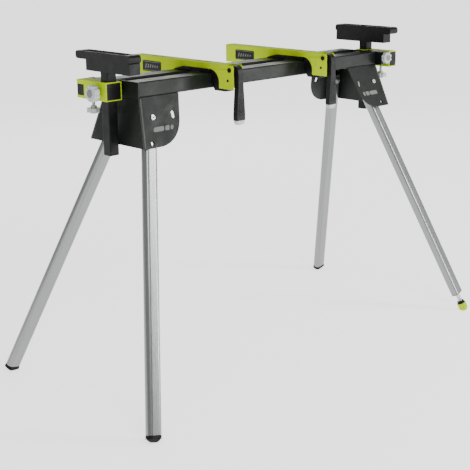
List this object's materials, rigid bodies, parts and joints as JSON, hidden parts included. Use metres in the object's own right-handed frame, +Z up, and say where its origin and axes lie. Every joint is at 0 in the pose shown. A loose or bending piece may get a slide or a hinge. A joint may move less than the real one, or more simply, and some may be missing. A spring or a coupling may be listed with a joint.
{
  "type": "mitre saw stand",
  "caption": "Folding mitre saw stand: twin rail tubes on four splayed folding legs, sliding end supports and two quick-release saw brackets.",
  "frame": {"origin": "on the floor, under the middle of the rail", "axes": "+X along the rail to the right, -Y to the front where the quick-release levers hang, +Z up"},
  "size_m": [1.314, 0.6378, 0.883],
  "materials": {
    "charcoal_paint": "satin",
    "black_paint": "satin",
    "lime_paint": "satin",
    "leg_aluminium": "satin",
    "zinc_steel": "satin",
    "black_plastic": "satin",
    "lime_plastic": "satin",
    "grey_plastic": "satin",
    "dark_grey_plastic": "satin",
    "black_rubber": "matte"
  },
  "bodies": {
    "frame": {"front_rail_tube": "charcoal_paint", "rear_rail_tube": "charcoal_paint", "left_leg_bracket": "charcoal_paint", "right_leg_bracket": "charcoal_paint", "left_arm_guide": "black_plastic", "right_arm_guide": "black_plastic", "frame_rivets": "zinc_steel", "pivot_bolts": "zinc_steel", "pivot_nuts": "zinc_steel"},
    "front_left_leg_body": {"front_left_leg": "leg_aluminium", "front_left_leg_plug": "black_plastic", "front_left_foot": "black_rubber"},
    "front_left_lock_button": {"front_left_lock": "zinc_steel"},
    "back_left_leg_body": {"back_left_leg": "leg_aluminium", "back_left_leg_plug": "black_plastic", "back_left_foot": "black_rubber"},
    "back_left_lock_button": {"back_left_lock": "zinc_steel"},
    "back_right_leg_body": {"back_right_leg": "leg_aluminium", "back_right_leg_plug": "black_plastic", "back_right_foot": "black_rubber"},
    "back_right_lock_button": {"back_right_lock": "zinc_steel"},
    "front_right_leg_body": {"front_right_leg": "leg_aluminium", "front_right_leg_plug": "black_plastic", "levelling_plug": "dark_grey_plastic"},
    "front_right_lock_button": {"front_right_lock": "zinc_steel"},
    "levelling_foot_body": {"levelling_screw": "zinc_steel", "levelling_nut": "black_plastic", "levelling_foot": "lime_plastic"},
    "left_arm_body": {"left_arm": "black_paint", "left_collar": "lime_paint", "left_collar_cap": "black_plastic", "left_post_guide": "black_plastic"},
    "left_support": {"left_post": "black_paint", "left_support_web": "black_paint", "left_support_bar": "black_plastic"},
    "left_post_knob_body": {"left_post_knob": "grey_plastic"},
    "left_collar_knob_body": {"left_collar_knob": "grey_plastic"},
    "left_arm_knob_body": {"left_arm_knob": "grey_plastic"},
    "left_saw_bracket_body": {"left_saw_bracket": "lime_paint", "left_rear_pad": "black_plastic", "left_lever_pin": "black_paint"},
    "left_lever_body": {"left_lever": "black_plastic", "left_lever_tip": "grey_plastic"},
    "left_jaw_body": {"left_jaw": "black_plastic"},
    "right_arm_body": {"right_arm": "black_paint", "right_collar": "lime_paint", "right_collar_cap": "black_plastic", "right_post_guide": "black_plastic"},
    "right_support": {"right_post": "black_paint", "right_support_web": "black_paint", "right_support_bar": "black_plastic"},
    "right_post_knob_body": {"right_post_knob": "grey_plastic"},
    "right_collar_knob_body": {"right_collar_knob": "grey_plastic"},
    "right_arm_knob_body": {"right_arm_knob": "grey_plastic"},
    "right_saw_bracket_body": {"right_saw_bracket": "lime_paint", "right_rear_pad": "black_plastic", "right_lever_pin": "black_paint"},
    "right_lever_body": {"right_lever": "black_plastic", "right_lever_tip": "grey_plastic"},
    "right_jaw_body": {"right_jaw": "black_plastic"}
  },
  "joints": [
    {"name": "front_left_leg_fold", "type": "hinge", "parent": "frame", "child": "front_left_leg_body", "pos_m": [-0.43, -0.07048, 0.72], "axis": [0, -0.9489, 0.3157], "range_deg": [0, 105.2]},
    {"name": "front_left_lock_press", "type": "slide", "parent": "front_left_leg_body", "child": "front_left_lock_button", "axis": [0, 0.9489, -0.3157], "range_m": [0, 0.006], "stiffness_N_per_m": 800, "springref_m": -0.004},
    {"name": "back_left_leg_fold", "type": "hinge", "parent": "frame", "child": "back_left_leg_body", "pos_m": [-0.43, 0.04485, 0.71152], "axis": [0, -0.9375, -0.348], "range_deg": [0, 105.2]},
    {"name": "back_left_lock_press", "type": "slide", "parent": "back_left_leg_body", "child": "back_left_lock_button", "axis": [0, -0.9375, -0.348], "range_m": [0, 0.006], "stiffness_N_per_m": 800, "springref_m": -0.004},
    {"name": "back_right_leg_fold", "type": "hinge", "parent": "frame", "child": "back_right_leg_body", "pos_m": [0.43, 0.07048, 0.72], "axis": [0, 0.9489, 0.3157], "range_deg": [0, 105.2]},
    {"name": "back_right_lock_press", "type": "slide", "parent": "back_right_leg_body", "child": "back_right_lock_button", "axis": [0, -0.9489, -0.3157], "range_m": [0, 0.006], "stiffness_N_per_m": 800, "springref_m": -0.004},
    {"name": "front_right_leg_fold", "type": "hinge", "parent": "frame", "child": "front_right_leg_body", "pos_m": [0.43, -0.04485, 0.71152], "axis": [0, 0.9375, -0.348], "range_deg": [0, 105.2]},
    {"name": "front_right_lock_press", "type": "slide", "parent": "front_right_leg_body", "child": "front_right_lock_button", "axis": [0, 0.9375, -0.348], "range_m": [0, 0.006], "stiffness_N_per_m": 800, "springref_m": -0.004},
    {"name": "levelling_foot_height", "type": "slide", "parent": "front_right_leg_body", "child": "levelling_foot_body", "axis": [0.269, -0.3352, -0.9029], "range_m": [0, 0.02]},
    {"name": "left_arm_slide", "type": "slide", "parent": "frame", "child": "left_arm_body", "axis": [-1, 0, 0], "range_m": [0, 0.78]},
    {"name": "left_support_height", "type": "slide", "parent": "left_arm_body", "child": "left_support", "axis": [0, 0, 1], "range_m": [-0.022, 0.1]},
    {"name": "left_post_knob_turn", "type": "hinge", "parent": "left_arm_body", "child": "left_post_knob_body", "pos_m": [-0.544, 0.01, 0.786], "axis": [-1, 0, 0], "range_deg": [0, 540]},
    {"name": "left_collar_knob_turn", "type": "hinge", "parent": "left_arm_body", "child": "left_collar_knob_body", "pos_m": [-0.502, 0.056, 0.742], "axis": [0, 0, -1], "range_deg": [0, 540]},
    {"name": "left_arm_knob_turn", "type": "hinge", "parent": "frame", "child": "left_arm_knob_body", "pos_m": [-0.467, 0.11, 0.795], "axis": [0, 1, 0], "range_deg": [0, 540]},
    {"name": "left_saw_bracket_slide", "type": "slide", "parent": "frame", "child": "left_saw_bracket_body", "axis": [1, 0, 0], "range_m": [-0.2, 0.14]},
    {"name": "left_lever_swing", "type": "hinge", "parent": "left_saw_bracket_body", "child": "left_lever_body", "pos_m": [-0.203, -0.142, 0.825], "axis": [-1, 0, 0], "range_deg": [0, 100]},
    {"name": "left_jaw_slide", "type": "slide", "parent": "left_saw_bracket_body", "child": "left_jaw_body", "axis": [0, -1, 0], "range_m": [0, 0.006]},
    {"name": "right_arm_slide", "type": "slide", "parent": "frame", "child": "right_arm_body", "axis": [1, 0, 0], "range_m": [0, 0.78]},
    {"name": "right_support_height", "type": "slide", "parent": "right_arm_body", "child": "right_support", "axis": [0, 0, 1], "range_m": [-0.022, 0.1]},
    {"name": "right_post_knob_turn", "type": "hinge", "parent": "right_arm_body", "child": "right_post_knob_body", "pos_m": [0.544, -0.01, 0.786], "axis": [1, 0, 0], "range_deg": [0, 540]},
    {"name": "right_collar_knob_turn", "type": "hinge", "parent": "right_arm_body", "child": "right_collar_knob_body", "pos_m": [0.502, -0.056, 0.742], "axis": [0, 0, -1], "range_deg": [0, 540]},
    {"name": "right_arm_knob_turn", "type": "hinge", "parent": "frame", "child": "right_arm_knob_body", "pos_m": [0.467, -0.11, 0.795], "axis": [0, -1, 0], "range_deg": [0, 540]},
    {"name": "right_saw_bracket_slide", "type": "slide", "parent": "frame", "child": "right_saw_bracket_body", "axis": [1, 0, 0], "range_m": [-0.14, 0.25]},
    {"name": "right_lever_swing", "type": "hinge", "parent": "right_saw_bracket_body", "child": "right_lever_body", "pos_m": [0.153, -0.142, 0.825], "axis": [-1, 0, 0], "range_deg": [0, 100]},
    {"name": "right_jaw_slide", "type": "slide", "parent": "right_saw_bracket_body", "child": "right_jaw_body", "axis": [0, -1, 0], "range_m": [0, 0.006]}
  ],
  "couplings": [
    {"joint": "left_jaw_slide", "follows": "left_lever_swing", "m_per_rad": 0.0034},
    {"joint": "right_jaw_slide", "follows": "right_lever_swing", "m_per_rad": 0.0034}
  ]
}
